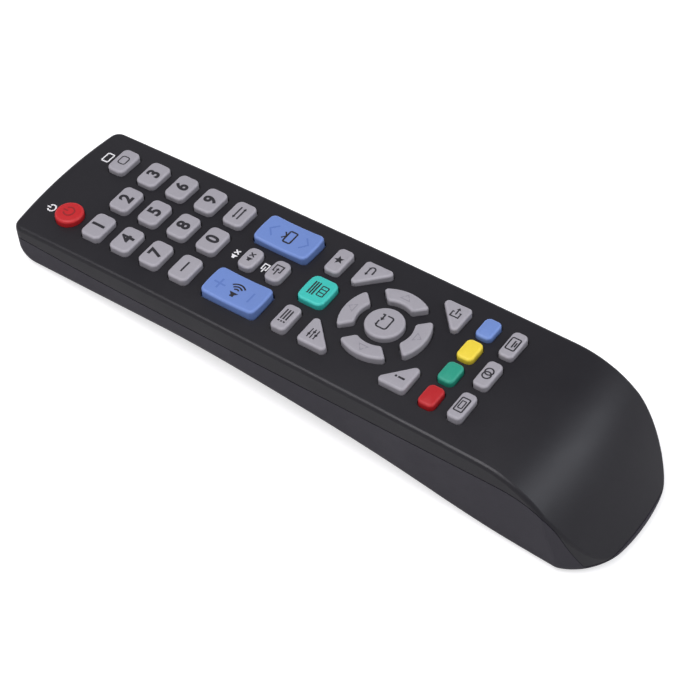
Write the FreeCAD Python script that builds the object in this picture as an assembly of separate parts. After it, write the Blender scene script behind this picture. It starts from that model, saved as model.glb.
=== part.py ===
import FreeCAD, Part
import math
import os
from functools import partial

# A slim remote control handset for a television, modelled face up and level:
# x to its right, y towards the end that points at the television, z up.
# The level frame's origin is the highest point of the face.
# The finished pieces are tipped at the end, to stand as the handset lies on
# a table: on the front of its belly and on the flat foot of its battery hump.

# Face: a long shallow crown, then a bend down to the rear end
crown_centre_y = -30.0
crown_length_radius = 2660.0
crown_width_radius = 275.0
bend_start_y = -129.5
bend_radius = 30.0
rear_slope_deg = 56.0
rear_crown_radius = 50.0
rear_crown_run = 35.0
station_pitch = 6.75
station_count = 31

# Outline seen from above
front_edge_y = 24.35
front_arch_radius = 240.0
rear_tip_y = -164.0
rear_arch_radius = 45.0
rear_corner_radius = 18.5

# Sides: out from the face to the widest line, then in to the belly
half_width_front = 22.35
half_width_rear = 23.5
side_flare = 0.65
widest_depth_front = 4.0
widest_depth_rear = 9.4
side_lean_deg = 5.0
side_top = 6.0
side_front_y = 30.0
side_rear_y = -170.0

# Belly, seen from the side
belly_front_depth = 14.6
belly_flat_end_y = -26.0
belly_rise_y = -66.0
belly_rise_depth = 17.5
belly_hump_y = -104.0
belly_hump_depth = 23.5
foot_y = -146.0
foot_depth = 31.4
foot_length = 10.0
tail_depth = 31.5

# Edge roundings of the case
belly_front_radius = 6.0
belly_side_radius = 3.0
face_edge_radius = 1.2
face_edge_band = 0.45

# Walls and the joint between the two case halves. The inner face also moves
# forward, which keeps the wall of the steep rear slope as thick as the rest.
wall = 1.6
slope_wall_share = 0.6
parting_front_depth = 4.6
parting_front_slope = 0.08
parting_mid_y = -60.0
parting_mid_depth = 7.4
parting_bend_y = -134.0
parting_bend_depth = 8.0
parting_bend_slope = 0.01
parting_turn_y = -149.3
parting_turn_depth = 13.3
parting_dive_y = -152.1
parting_dive_depth = 17.4
parting_lip_y = -157.4
parting_lip_depth = 29.3
groove_height = 0.35
groove_inset = 0.6
tongue_height = 1.0
tongue_gap = 0.1

# Keypad: grid, travel and the stack below the face
column_pitch = 12.0
row_pitch = 10.05
number_row_y = 0.65
key_rise = 1.7
key_gap = 0.25
key_edge_radius = 0.45
key_travel = 0.8
flange_reach = 0.7
flange_thickness = 0.6
flange_gap = 0.08
mat_top_depth = 5.4
mat_thickness = 0.6
board_thickness = 1.2
plunger_radius = 1.5
plunger_gap = 0.3
plunger_end_gap = 0.1

# Number keys and the small keys
number_width = 9.0
number_length = 6.4
number_corner = 1.4
television_y = 11.4
television_length = 5.7
power_x = -12.2
power_y = 11.0
power_radius = 4.0
power_rise = 2.0
middle_width = 7.6
middle_length = 4.95
middle_corner = 1.8
mute_y = -42.4
source_y = -51.3
list_y = -62.75
list_length = 4.7
menu_y = -64.4
menu_width = 9.3
menu_length = 8.35
colour_y = -108.75
colour_pitch = 8.9
colour_width = 7.0
colour_length = 4.9
colour_corner = 1.6
bottom_row_y = -117.0
bottom_row_width = 9.1
bottom_row_length = 4.3
small_corner = 1.2

# Rocker keys for volume and channel
rocker_x = 11.6
rocker_y = -46.55
rocker_width = 10.2
rocker_length = 17.9
rocker_corner = 1.5
rocker_rise = 2.5
rocker_saddle = 0.45
rocker_drop = 0.8
rocker_post_y = 5.0
rocker_tilt = 0.075

# Direction ring with its centre key and four corner keys
ring_y = -85.6
enter_radius = 5.3
ring_inner_radius = 7.9
ring_outer_radius = 12.5
ring_key_gap = 4.5
ring_corner = 0.8
corner_inner_x = 5.9
corner_outer_x = 16.5
corner_front_y = -69.0
corner_front_length = 10.3
corner_rear_y = -102.3
corner_rear_length = 9.6
corner_key_radius = 1.2

# Circuit board and what it carries
board_front_y = 17.0
board_rear_y = -122.0
board_half_width = 20.4
board_corner = 3.0
mat_margin = 0.6
led_radius = 2.5
led_rim_radius = 2.9
led_rim_thickness = 1.0
led_length = 8.6
led_setback = 0.3
led_hole_gap = 0.2
led_pin_spacing = 2.54
led_pin_width = 0.5
led_pin_run = 3.0
chip_y = -38.0
chip_width = 7.5
chip_length = 12.8
chip_height = 1.8
chip_lift = 0.15
chip_pin_count = 10
chip_pin_pitch = 1.27
chip_pin_width = 0.4
chip_pin_height = 1.1
chip_pin_thickness = 0.25
chip_pin_overlap = 0.1
chip_pin_reach = 1.65
chip_foot_length = 0.8
resonator_y = -54.0
resonator_width = 3.2
resonator_length = 7.4
resonator_height = 2.6
resonator_corner = 1.2
capacitor_y = -76.0
capacitor_radius = 2.1
capacitor_length = 8.0
capacitor_edge = 0.3
transistor_y = -4.0
transistor_radius = 2.3
transistor_length = 4.5
resistor_y = -12.0
resistor_pitch = 3.2
resistor_count = 4
resistor_size = (3.2, 1.6, 0.6)
rib_front_y = 10.0
rib_pitch = 32.0
rib_count = 4
rib_inner_x = 9.0

# Cells, bay and door
cell_radius = 5.25
cell_length = 43.7
cell_cap_radius = 1.9
cell_cap_length = 0.9
cell_edge = 0.4
cell_cap_root = 0.5
cell_spacing = 11.1
cell_door_gap = 0.35
bay_front_y = -98.0
bay_wall = 1.2
bay_side_gap = 0.4
contact_room = 2.6
contact_thickness = 0.4
contact_play = 0.05
contact_plate_inset = 1.2
leaf_half_height = 3.4
leaf_half_nose = 0.7
leaf_thickness = 0.45
positive_leaf_width = 3.2
negative_leaf_width = 5.0
bridge_height = 2.6
door_front_y = -97.0
door_rear_y = -160.0
door_wall = 1.7
door_half_width = 14.4
door_gap = 0.25
grip_front_y = -106.0
grip_pitch = 3.0
grip_count = 5
grip_width = 14.0
grip_radius = 0.6

far = 60.0


def vec(x, y, z):
    return FreeCAD.Vector(x, y, z)


def line(a, b):
    return Part.LineSegment(a, b).toShape()


def smooth(points, start, end):
    """Curve through the points that leaves along start and arrives along end."""
    curve = Part.BSplineCurve()
    curve.interpolate(Points=points, InitialTangent=start, FinalTangent=end)
    return curve.toShape()


def prism(edges, direction):
    return Part.Face(Part.Wire(edges)).extrude(direction)


def one_solid(shape):
    """The largest solid of a shape, as a single clean solid."""
    return max(shape.Solids, key=lambda solid: solid.Volume)


def bend_slope():
    return math.asin((crown_centre_y - bend_start_y) / crown_length_radius)


def face_height(y):
    """Height of the face on the centre line."""
    reach = max(y, bend_start_y) - crown_centre_y
    crown = -reach ** 2 / (2.0 * crown_length_radius)
    if y > bend_start_y:
        return crown
    start = bend_slope()
    end = math.radians(rear_slope_deg)
    sine = math.sin(start) + (bend_start_y - y) / bend_radius
    if sine < math.sin(end):
        return crown - bend_radius * (math.cos(start) - math.sqrt(1.0 - sine ** 2))
    arc_end_y = bend_start_y - bend_radius * (math.sin(end) - math.sin(start))
    arc_end_z = crown - bend_radius * (math.cos(start) - math.cos(end))
    return arc_end_z - (arc_end_y - y) * math.tan(end)


def face_width_curvature(y):
    """Curvature of the face across, which tightens down the rear slope."""
    share = min(1.0, max(0.0, (bend_start_y - y) / rear_crown_run)) ** 2
    flat = 1.0 / crown_width_radius
    return flat + share * (1.0 / rear_crown_radius - flat)


def face_point_height(x, y):
    return face_height(y) - x ** 2 * face_width_curvature(y) / 2.0


def face_section(y):
    """Closed outline across the handset, with the face's arc on top."""
    side = far / 2.0
    top = face_height(y)
    edge = face_point_height(side, y)
    left = vec(-side, y, edge)
    right = vec(side, y, edge)
    arc = Part.Arc(left, vec(0, y, top), right).toShape()
    low_left = vec(-side, y, -2.0 * far)
    low_right = vec(side, y, -2.0 * far)
    return Part.Wire([arc, line(right, low_right), line(low_right, low_left), line(low_left, left)])


def under_face():
    """Everything below the face, from beyond the front to beyond the rear."""
    sections = [face_section(side_front_y - station_pitch * step) for step in range(station_count)]
    return Part.makeLoft(sections, True, False)


def foot_slope():
    """Slope of the line that touches the foot and the rounded front of the belly."""
    centre_y = front_edge_y - belly_front_radius
    centre_depth = belly_front_depth - belly_front_radius
    run = centre_y - foot_y
    fall = foot_depth - centre_depth
    reach = math.hypot(run, fall)
    return math.atan2(fall, run) - math.asin(belly_front_radius / reach)


def belly_curve():
    """Edges of the belly's profile on the centre plane, front to rear."""
    slope = foot_slope()
    half = foot_length / 2.0
    fall = half * math.tan(slope)
    front = vec(0, far, -belly_front_depth)
    flat_end = vec(0, belly_flat_end_y, -belly_front_depth)
    rise = vec(0, belly_rise_y, -belly_rise_depth)
    hump = vec(0, belly_hump_y, -belly_hump_depth)
    foot_front = vec(0, foot_y + half, -foot_depth + fall)
    foot_rear = vec(0, foot_y - half, -foot_depth - fall)
    tail = vec(0, side_rear_y, -tail_depth)
    level = vec(0, -1, 0)
    down = vec(0, -math.cos(slope), -math.sin(slope))
    tail_rise = vec(0, -1, 0.05)
    return [
        line(front, flat_end),
        smooth([flat_end, rise, hump, foot_front], level, down),
        line(foot_front, foot_rear),
        smooth([foot_rear, tail], down, tail_rise),
    ]


def above_belly():
    edges = belly_curve()
    start = edges[0].Vertexes[0].Point
    end = edges[-1].Vertexes[-1].Point
    high_start = vec(0, start.y, far)
    high_end = vec(0, end.y, far)
    edges += [line(end, high_end), line(high_end, high_start), line(high_start, start)]
    body = prism(edges, vec(far, 0, 0))
    body.translate(vec(-far / 2.0, 0, 0))
    return body


def side_section(y, half_width, widest_depth, inset):
    """Closed outline across the handset, with the bulge of its two sides."""
    face_half = half_width - inset
    widest_half = face_half + side_flare
    top_half = face_half - side_flare * side_top / widest_depth
    low_half = widest_half - (far - widest_depth) * math.tan(math.radians(side_lean_deg))
    flare = vec(widest_half - top_half, 0, -side_top - widest_depth)
    lean = vec(low_half - widest_half, 0, widest_depth - far)
    top = vec(top_half, y, side_top)
    widest = vec(widest_half, y, -widest_depth)
    low = vec(low_half, y, -far)
    curve = Part.BSplineCurve()
    curve.interpolate(Points=[top, widest, low], Tangents=[flare, vec(0, 0, -1), lean],
                      TangentFlags=[True, True, True])
    right = curve.toShape()
    left = right.mirror(vec(0, 0, 0), vec(1, 0, 0))
    cross = line(vec(-top_half, y, side_top), top)
    return Part.Wire([right, line(low, vec(-low_half, y, -far)), left, cross])


def between_sides(inset):
    front = side_section(side_front_y, half_width_front, widest_depth_front, inset)
    rear = side_section(side_rear_y, half_width_rear, widest_depth_rear, inset)
    return Part.makeLoft([front, rear], True, True)


def rear_corner(inset):
    """Centre of the right rear corner's arc and its two tangent points."""
    radius = rear_corner_radius
    half = half_width_rear + side_flare
    centre_x = half - radius
    arch_centre_y = rear_tip_y + rear_arch_radius
    reach = rear_arch_radius - radius
    centre_y = arch_centre_y - math.sqrt(reach ** 2 - centre_x ** 2)
    side_point = vec(half - inset, centre_y, 0)
    outward = vec(centre_x, centre_y - arch_centre_y, 0)
    outward.normalize()
    centre = vec(centre_x, centre_y, 0)
    return side_point, centre, centre + outward * (radius - inset)


def plan_outline(inset):
    """Outline from above: arched front, straight sides, round rear end."""
    side_point, centre, arch_point = rear_corner(inset)
    middle = (side_point - centre) + (arch_point - centre)
    middle.normalize()
    corner_mid = centre + middle * (rear_corner_radius - inset)
    half = side_point.x
    arch_drop = half ** 2 / (2.0 * front_arch_radius)
    front = vec(half, front_edge_y - inset - arch_drop, 0)

    def mirrored(p):
        return vec(-p.x, p.y, p.z)

    tip = vec(0, rear_tip_y + inset, 0)
    return [
        Part.Arc(mirrored(front), vec(0, front_edge_y - inset, 0), front).toShape(),
        line(front, side_point),
        Part.Arc(side_point, corner_mid, arch_point).toShape(),
        Part.Arc(arch_point, tip, mirrored(arch_point)).toShape(),
        Part.Arc(mirrored(arch_point), mirrored(corner_mid), mirrored(side_point)).toShape(),
        line(mirrored(side_point), mirrored(front)),
    ]


def edges_near(shape, test):
    """Edges whose middle point passes the test."""
    def middle(edge):
        return edge.valueAt((edge.FirstParameter + edge.LastParameter) / 2.0)
    return [edge for edge in shape.Edges if test(middle(edge))]


def tub(inset):
    """Sides, ends and belly, still open to the sky."""
    belly = above_belly()
    belly.translate(vec(0, 0, inset))
    plan = prism(plan_outline(inset), vec(0, 0, 2.0 * far))
    plan.translate(vec(0, 0, -1.5 * far))
    return one_solid(between_sides(inset).common(plan).common(belly))


def rounded_tub():
    """The tub with its front corners and belly edges rounded."""
    body = tub(0)
    front_face_y = front_edge_y - 2.0

    def front_belly_edge(p):
        return abs(p.x) < 1.0 and p.y > front_face_y and p.z < -widest_depth_front

    body = one_solid(body.makeFillet(belly_front_radius, edges_near(body, front_belly_edge)))

    def rim_edge(p):
        beside = abs(p.x) > half_width_front - 2.0
        behind = p.y < rear_tip_y + rear_corner_radius / 2.0
        return (beside or behind) and p.z < side_top - 1.0

    return one_solid(body.makeFillet(belly_side_radius, edges_near(body, rim_edge)))


def under_face_at(inset):
    top = under_face()
    top.translate(vec(0, slope_wall_share * inset, -inset))
    return top


def envelope(inset):
    """The handset's outer form, or the room inside it at a wall's depth."""
    return one_solid(tub(inset).common(under_face_at(inset)))


def parting_curve():
    """Line of the joint between the case halves, front to rear, in side view."""
    nose = vec(0, front_edge_y, -parting_front_depth)
    middle = vec(0, parting_mid_y, -parting_mid_depth)
    bend = vec(0, parting_bend_y, -parting_bend_depth)
    turn = vec(0, parting_turn_y, -parting_turn_depth)
    dive = vec(0, parting_dive_y, -parting_dive_depth)
    lip = vec(0, parting_lip_y, -parting_lip_depth)
    front_way = vec(0, -1, -parting_front_slope)
    bend_way = vec(0, -1, -parting_bend_slope)
    return [
        line(vec(0, far, -parting_front_depth), nose),
        smooth([nose, middle, bend], front_way, bend_way),
        smooth([bend, turn, dive], bend_way, lip - dive),
        line(dive, lip),
        line(lip, vec(0, side_rear_y - far, -parting_lip_depth)),
    ]


def below_parting(rise):
    """Everything below the parting surface, raised by rise."""
    edges = parting_curve()
    start = edges[0].Vertexes[0].Point
    end = edges[-1].Vertexes[-1].Point
    low_start = vec(0, start.y, -2.0 * far)
    low_end = vec(0, end.y, -2.0 * far)
    edges += [line(end, low_end), line(low_end, low_start), line(low_start, start)]
    body = prism(edges, vec(far, 0, 0))
    body.translate(vec(-far / 2.0, 0, rise))
    return body


def rounded_box(width, length, corner, low_z, high_z):
    """Upright box with rounded corners, centred on the z axis."""
    x = width / 2.0
    y = length / 2.0
    box = Part.makeBox(width, length, high_z - low_z, vec(-x, -y, low_z))
    upright = [edge for edge in box.Edges if edge.BoundBox.ZLength > (high_z - low_z) / 2.0]
    return box.makeFillet(corner, upright)


def rounded_polygon(points, corner):
    """Flat outline with straight sides and rounded corners."""
    edges = []
    count = len(points)
    turns = []
    for index in range(count):
        here = points[index]
        back = (points[index - 1] - here).normalize()
        ahead = (points[(index + 1) % count] - here).normalize()
        half_angle = back.getAngle(ahead) / 2.0
        reach = corner / math.tan(half_angle)
        inward = (back + ahead).normalize()
        centre = here + inward * (corner / math.sin(half_angle))
        turns.append((here + back * reach, centre - inward * corner, here + ahead * reach))
    for index in range(count):
        start, middle, end = turns[index]
        next_start = turns[(index + 1) % count][0]
        edges.append(Part.Arc(start, middle, end).toShape())
        edges.append(line(end, next_start))
    return Part.Wire(edges)


def box_outline(width, length, corner, centre, reach=0.0):
    """Rounded rectangle, moved outward all round by reach."""
    x = width / 2.0 + reach
    y = length / 2.0 + reach
    corners = [vec(-x, -y, 0), vec(x, -y, 0), vec(x, y, 0), vec(-x, y, 0)]
    wire = rounded_polygon(corners, corner + reach)
    wire.translate(centre)
    return wire


def circle_outline(radius, centre, reach=0.0):
    return Part.Wire([Part.Circle(centre, vec(0, 0, 1), radius + reach).toShape()])


def triangle_outline(side, front, reach=0.0):
    """Corner key beside the ring: side is -1 left or 1 right, front is 1 or -1."""
    inner = side * corner_inner_x
    outer = side * corner_outer_x
    if front > 0:
        near = corner_front_y
        away = corner_front_y - corner_front_length
    else:
        near = corner_rear_y
        away = corner_rear_y + corner_rear_length
    corners = [vec(inner, near, 0), vec(outer, near, 0), vec(outer, away, 0)]
    wire = rounded_polygon(corners, corner_key_radius)
    return wire.makeOffset2D(reach, 0) if reach else wire


def softened(wire, radius):
    """The flat outline with every corner rounded."""
    block = Part.Face(wire).extrude(vec(0, 0, 1))
    upright = [edge for edge in block.Edges if edge.BoundBox.ZLength > 0.5]
    block = block.makeFillet(radius, upright)
    return min(block.Faces, key=lambda face: face.CenterOfMass.z).OuterWire


def ring_key_outline(turn_deg, reach=0.0):
    """Quarter of the direction ring, set back from both diagonals by half the gap."""
    setback = ring_key_gap / 2.0 - reach
    inner_radius = ring_inner_radius - reach
    outer_radius = ring_outer_radius + reach
    inner_end = math.pi / 4.0 - math.asin(setback / inner_radius)
    outer_end = math.pi / 4.0 - math.asin(setback / outer_radius)

    def at(radius, angle):
        return vec(radius * math.sin(angle), radius * math.cos(angle), 0)

    outer = Part.Arc(at(outer_radius, -outer_end), at(outer_radius, 0),
                     at(outer_radius, outer_end)).toShape()
    inner = Part.Arc(at(inner_radius, inner_end), at(inner_radius, 0),
                     at(inner_radius, -inner_end)).toShape()
    edges = [outer, line(at(outer_radius, outer_end), at(inner_radius, inner_end)), inner,
             line(at(inner_radius, -inner_end), at(outer_radius, -outer_end))]
    wire = softened(Part.Wire(edges), ring_corner + reach)
    wire.rotate(vec(0, 0, 0), vec(0, 0, 1), turn_deg)
    wire.translate(vec(0, ring_y, 0))
    return wire


def key_list():
    """Name, outline maker, middle, rise above the face and kind of every key."""
    keys = []

    def add(name, outline, middle, rise=key_rise, kind="push"):
        keys.append((name, outline, middle, rise, kind))

    def add_box(name, width, length, corner, x, y, rise=key_rise, kind="push"):
        middle = vec(x, y, 0)
        add(name, partial(box_outline, width, length, corner, middle), middle, rise, kind)

    digits = ["1", "2", "3", "4", "5", "6", "7", "8", "9", "dash", "0", "previous"]
    for index, digit in enumerate(digits):
        x = (index % 3 - 1) * column_pitch
        y = number_row_y - (index // 3) * row_pitch
        add_box("key_" + digit, number_width, number_length, number_corner, x, y)
    power = vec(power_x, power_y, 0)
    add("key_power", partial(circle_outline, power_radius, power), power, power_rise)
    add_box("key_television", number_width, television_length, number_corner, column_pitch, television_y)
    for name, side in (("key_volume", -1), ("key_channel", 1)):
        add_box(name, rocker_width, rocker_length, rocker_corner, side * rocker_x, rocker_y,
                rocker_rise, "rocker")
    for name, y in (("key_mute", mute_y), ("key_source", source_y)):
        add_box(name, middle_width, middle_length, middle_corner, 0, y)
    for name, side in (("key_channel_list", -1), ("key_favourite", 1)):
        add_box(name, number_width, list_length, small_corner, side * column_pitch, list_y)
    add_box("key_menu", menu_width, menu_length, middle_corner, 0, menu_y)
    corners = [("key_tools", -1, 1), ("key_return", 1, 1), ("key_info", -1, -1), ("key_exit", 1, -1)]
    for name, side, front in corners:
        outline = partial(triangle_outline, side, front)
        add(name, outline, Part.Face(outline()).CenterOfMass)
    enter = vec(0, ring_y, 0)
    add("key_enter", partial(circle_outline, enter_radius, enter), enter)
    for name, turn in (("key_up", 0), ("key_left", 90), ("key_down", 180), ("key_right", 270)):
        outline = partial(ring_key_outline, turn)
        add(name, outline, Part.Face(outline()).CenterOfMass)
    for index, colour in enumerate(["red", "green", "yellow", "blue"]):
        x = (index - 1.5) * colour_pitch
        add_box("key_" + colour, colour_width, colour_length, colour_corner, x, colour_y)
    for index, name in enumerate(["key_picture_size", "key_sound", "key_captions"]):
        x = (index - 1) * column_pitch
        add_box(name, bottom_row_width, bottom_row_length, small_corner, x, bottom_row_y)
    return keys


def slab(wire, low_z, high_z):
    body = Part.Face(wire).extrude(vec(0, 0, high_z - low_z))
    body.translate(vec(0, 0, low_z))
    return body


def lowest_ceiling(wire):
    """Lowest point of the case's inner face over an outline."""
    box = wire.BoundBox
    corners = [(x, y) for x in (box.XMin, box.XMax) for y in (box.YMin, box.YMax)]
    return min(face_point_height(x, y) for x, y in corners) - wall


def saddle(middle, top):
    """Round bar whose underside hollows a rocker's top between its two ends."""
    half = rocker_length / 2.0
    radius = (half ** 2 + rocker_saddle ** 2) / (2.0 * rocker_saddle)
    start = vec(middle.x - far / 2.0, middle.y, top - rocker_saddle + radius)
    return Part.makeCylinder(radius, far, start, vec(1, 0, 0))


def key_solid(outline, middle, rise, kind):
    """Cap, flange under the face and the post that presses the board's contact."""
    flange_wire = outline(flange_reach)
    flange_top = lowest_ceiling(flange_wire) - flange_gap
    if kind == "rocker":
        flange_top -= rocker_drop
    flange_low = flange_top - flange_thickness
    top = face_point_height(middle.x, middle.y) + rise
    cap = slab(outline(), flange_low, top)
    rim_low = top - key_edge_radius
    if kind == "rocker":
        cap = cap.cut(saddle(middle, top))
        rim_low -= rocker_saddle
    rim = [edge for edge in cap.Edges if edge.BoundBox.ZMin > rim_low]
    cap = cap.makeFillet(key_edge_radius, rim)
    body = cap.fuse(slab(flange_wire, flange_low, flange_top))
    for post_middle in post_middles(middle, kind):
        low = -mat_top_depth - mat_thickness + plunger_end_gap
        if kind == "push":
            low += key_travel
        else:
            low += rocker_post_y * rocker_tilt
        body = body.fuse(slab(circle_outline(plunger_radius, post_middle), low, flange_top))
    return one_solid(body.removeSplitter())


def post_middles(middle, kind):
    if kind == "rocker":
        return [middle + vec(0, rocker_post_y, 0), middle - vec(0, rocker_post_y, 0)]
    return [middle]


def board_outline(inset):
    length = board_front_y - board_rear_y - 2.0 * inset
    middle = vec(0, (board_front_y + board_rear_y) / 2.0, 0)
    return box_outline(2.0 * (board_half_width - inset), length, board_corner, middle)


def keypad_mat(keys):
    """Rubber sheet over the board with a hole round every post."""
    low = -mat_top_depth - mat_thickness
    body = slab(board_outline(mat_margin), low, -mat_top_depth)
    holes = []
    for name, outline, middle, rise, kind in keys:
        for post_middle in post_middles(middle, kind):
            hole = circle_outline(plunger_radius + plunger_gap, post_middle)
            holes.append(slab(hole, low - 1.0, -mat_top_depth + 1.0))
    return one_solid(body.cut(Part.makeCompound(holes)))


def circuit_board():
    return slab(board_outline(0), board_low(), board_low() + board_thickness)


def belly_height(y):
    upright = line(vec(0, y, -2.0 * far), vec(0, y, 0))
    return upright.distToShape(Part.Wire(belly_curve()))[1][0][0].z


def bay_angle():
    """Slope of the door's inner plane, down towards the rear."""
    fall = belly_height(door_front_y) - belly_height(door_rear_y)
    return math.atan2(fall, door_front_y - door_rear_y)


def in_bay(shape):
    """Sets a piece made in the bay's own frame, z=0 on the door's inner plane."""
    shape.rotate(vec(0, 0, 0), vec(1, 0, 0), math.degrees(bay_angle()))
    shape.translate(vec(0, door_front_y, belly_height(door_front_y) + door_wall))
    return shape


def bay_depth():
    return 2.0 * cell_radius + cell_door_gap + bay_side_gap


def bay_length():
    return cell_length + cell_cap_length + 2.0 * contact_room


def bay_half_width():
    return cell_spacing / 2.0 + cell_radius + bay_side_gap


def bay_start():
    """Front end of the room for the cells, along the bay."""
    return -2.0 * bay_wall


def bay_box(reach, low, high):
    half = bay_half_width() + reach
    length = bay_length() + 2.0 * reach
    corner = vec(-half, bay_start() - bay_length() - reach, low)
    return Part.makeBox(2.0 * half, length, high - low, corner)


def long_strip(low_x, high_x, low_z, high_z, front):
    length = door_front_y - side_rear_y + far
    corner = vec(low_x, front - length, low_z)
    return Part.makeBox(high_x - low_x, length, high_z - low_z, corner)


def bay_walls():
    """Trough over the cells, and the rails and skirts that the door slides along."""
    rail_low = door_gap
    rail_high = rail_low + bay_wall
    opening = door_half_width + door_gap
    trough = bay_box(bay_wall, rail_low, bay_depth() + bay_wall)
    pieces = []
    for side in (-1.0, 1.0):
        rail = long_strip(bay_half_width(), opening + bay_wall, rail_low, rail_high, bay_wall)
        skirt = long_strip(opening, opening + bay_wall, -2.0 * door_wall, rail_high, bay_wall)
        both = rail.fuse(skirt)
        pieces.append(both if side > 0 else both.mirror(vec(0, 0, 0), vec(1, 0, 0)))
    lintel = Part.makeBox(2.0 * opening, bay_wall, rail_high + door_wall,
                          vec(-opening, door_gap, -door_wall))
    return in_bay(trough.multiFuse(pieces + [lintel]))


def door_opening():
    opening = door_half_width + door_gap
    return in_bay(long_strip(-opening, opening, -far, door_gap, door_gap))


def case_halves(outer, inner, keys):
    """Top and bottom shells, with the tongue that seats one in the other."""
    shell = outer.cut(inner)
    middle = envelope(wall - groove_inset)
    lower = below_parting(0)
    tongue_ring = middle.cut(inner).common(below_parting(tongue_height)).cut(lower)
    pocket = envelope(wall - groove_inset - tongue_gap)
    pocket = pocket.common(below_parting(tongue_height + tongue_gap))
    top = shell.cut(lower).cut(pocket)
    groove = outer.cut(pocket).common(lower).cut(below_parting(-groove_height))
    bottom = shell.common(lower).cut(groove).fuse(tongue_ring)
    holes = []
    for name, outline, middle, rise, kind in keys:
        holes.append(slab(outline(key_gap), -far / 2.0, far / 2.0))
    top = top.cut(Part.makeCompound(holes))
    return one_solid(top), one_solid(bottom)


def board_low():
    """Height of the circuit board's lower side."""
    return -mat_top_depth - mat_thickness - board_thickness


def board_ribs():
    """Cross ribs on the bottom shell that carry the board."""
    ribs = []
    for index in range(rib_count):
        y = rib_front_y - index * rib_pitch
        rib = Part.makeBox(far, bay_wall, board_low() + far, vec(rib_inner_x, y, -far))
        ribs += [rib, rib.mirror(vec(0, 0, 0), vec(1, 0, 0))]
    return ribs


def led_axis_height():
    return board_low() - led_rim_radius - led_hole_gap


def led_start():
    """Rear end of the emitter's body."""
    return front_edge_y - led_setback - led_length


def led_opening():
    """Hole for the emitter through the front wall, and a seat for its rim in the floor."""
    z = led_axis_height()
    hole = Part.makeCylinder(led_radius + led_hole_gap, far, vec(0, 0, z), vec(0, 1, 0))
    length = led_rim_thickness + 2.0 * led_hole_gap
    seat = Part.makeCylinder(led_rim_radius + led_hole_gap, length, vec(0, led_start() - led_hole_gap, z),
                             vec(0, 1, 0))
    return hole.fuse(seat)


def bottom_case(shell, outer):
    """Bottom shell with the bay, the rails and the ribs moulded on its inside."""
    beside_shell = outer.common(below_parting(-groove_height))
    beside_top = envelope(wall + door_gap)
    fittings = [bay_walls()] + board_ribs()
    fittings = [piece.common(zone) for piece in fittings for zone in (beside_shell, beside_top)]
    room = in_bay(bay_box(0, -far, bay_depth()))
    return one_solid(shell.multiFuse(fittings).cut(room).cut(door_opening()).cut(led_opening()))


def battery_door(outer):
    """Cover over the cells, flush with the belly, with grip grooves outside."""
    half = door_half_width
    cover = outer.common(in_bay(long_strip(-half, half, -far, 0, 0)))
    grooves = []
    for step in range(grip_count):
        y = grip_front_y - grip_pitch * step
        start = vec(-grip_width / 2.0, y, belly_height(y))
        grooves.append(Part.makeCylinder(grip_radius, grip_width, start, vec(1, 0, 0)))
    return one_solid(cover.cut(Part.makeCompound(grooves)))


def cell(side, positive_front):
    """Small round cell with its raised positive cap."""
    x = side * cell_spacing / 2.0
    z = cell_door_gap + cell_radius
    front = bay_start() - contact_room
    rear = front - cell_length - cell_cap_length
    if positive_front:
        start = vec(x, rear, z)
        way = vec(0, 1, 0)
    else:
        start = vec(x, front, z)
        way = vec(0, -1, 0)
    can = Part.makeCylinder(cell_radius, cell_length, start, way)
    rims = [edge for edge in can.Edges if len(edge.Vertexes) == 1]
    can = can.makeFillet(cell_edge, rims)
    cap_start = start + way * (cell_length - cell_cap_root)
    cap = Part.makeCylinder(cell_cap_radius, cell_cap_length + cell_cap_root, cap_start, way)
    return in_bay(one_solid(can.fuse(cap)))


def contact_leaf(side, width, at_front):
    """Bent leaf that presses on one end of a cell, and its backing plate."""
    x = side * cell_spacing / 2.0
    middle = cell_door_gap + cell_radius
    reach = contact_room - contact_play
    back = contact_thickness
    thin = leaf_thickness
    foot = leaf_half_height
    nose = leaf_half_nose
    outer = [(back, -foot), (reach, -nose), (reach, nose), (back, foot)]
    inner = [(back, foot - 2.0 * thin), (reach - thin, nose - thin / 2.0),
             (reach - thin, thin / 2.0 - nose), (back, 2.0 * thin - foot)]
    way = -1.0 if at_front else 1.0
    wall_y = bay_start() if at_front else bay_start() - bay_length()
    points = [vec(x - width / 2.0, wall_y + way * run, middle + rise) for run, rise in outer + inner]
    leaf = Part.Face(Part.makePolygon(points + points[:1])).extrude(vec(width, 0, 0))
    half_plate = cell_radius - contact_plate_inset
    low_y = min(wall_y, wall_y + way * contact_thickness)
    plate = Part.makeBox(2.0 * half_plate, contact_thickness, 2.0 * half_plate,
                         vec(x - half_plate, low_y, middle - half_plate))
    return plate.fuse(leaf)


def contact_bridge():
    """Rear contact that joins the two cells."""
    left = contact_leaf(-1.0, negative_leaf_width, False)
    right = contact_leaf(1.0, positive_leaf_width, False)
    corner = vec(-cell_spacing / 2.0, bay_start() - bay_length(),
                 cell_door_gap + cell_radius - bridge_height / 2.0)
    strap = Part.makeBox(cell_spacing, contact_thickness, bridge_height, corner)
    return in_bay(one_solid(left.fuse(right).fuse(strap)))


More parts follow.
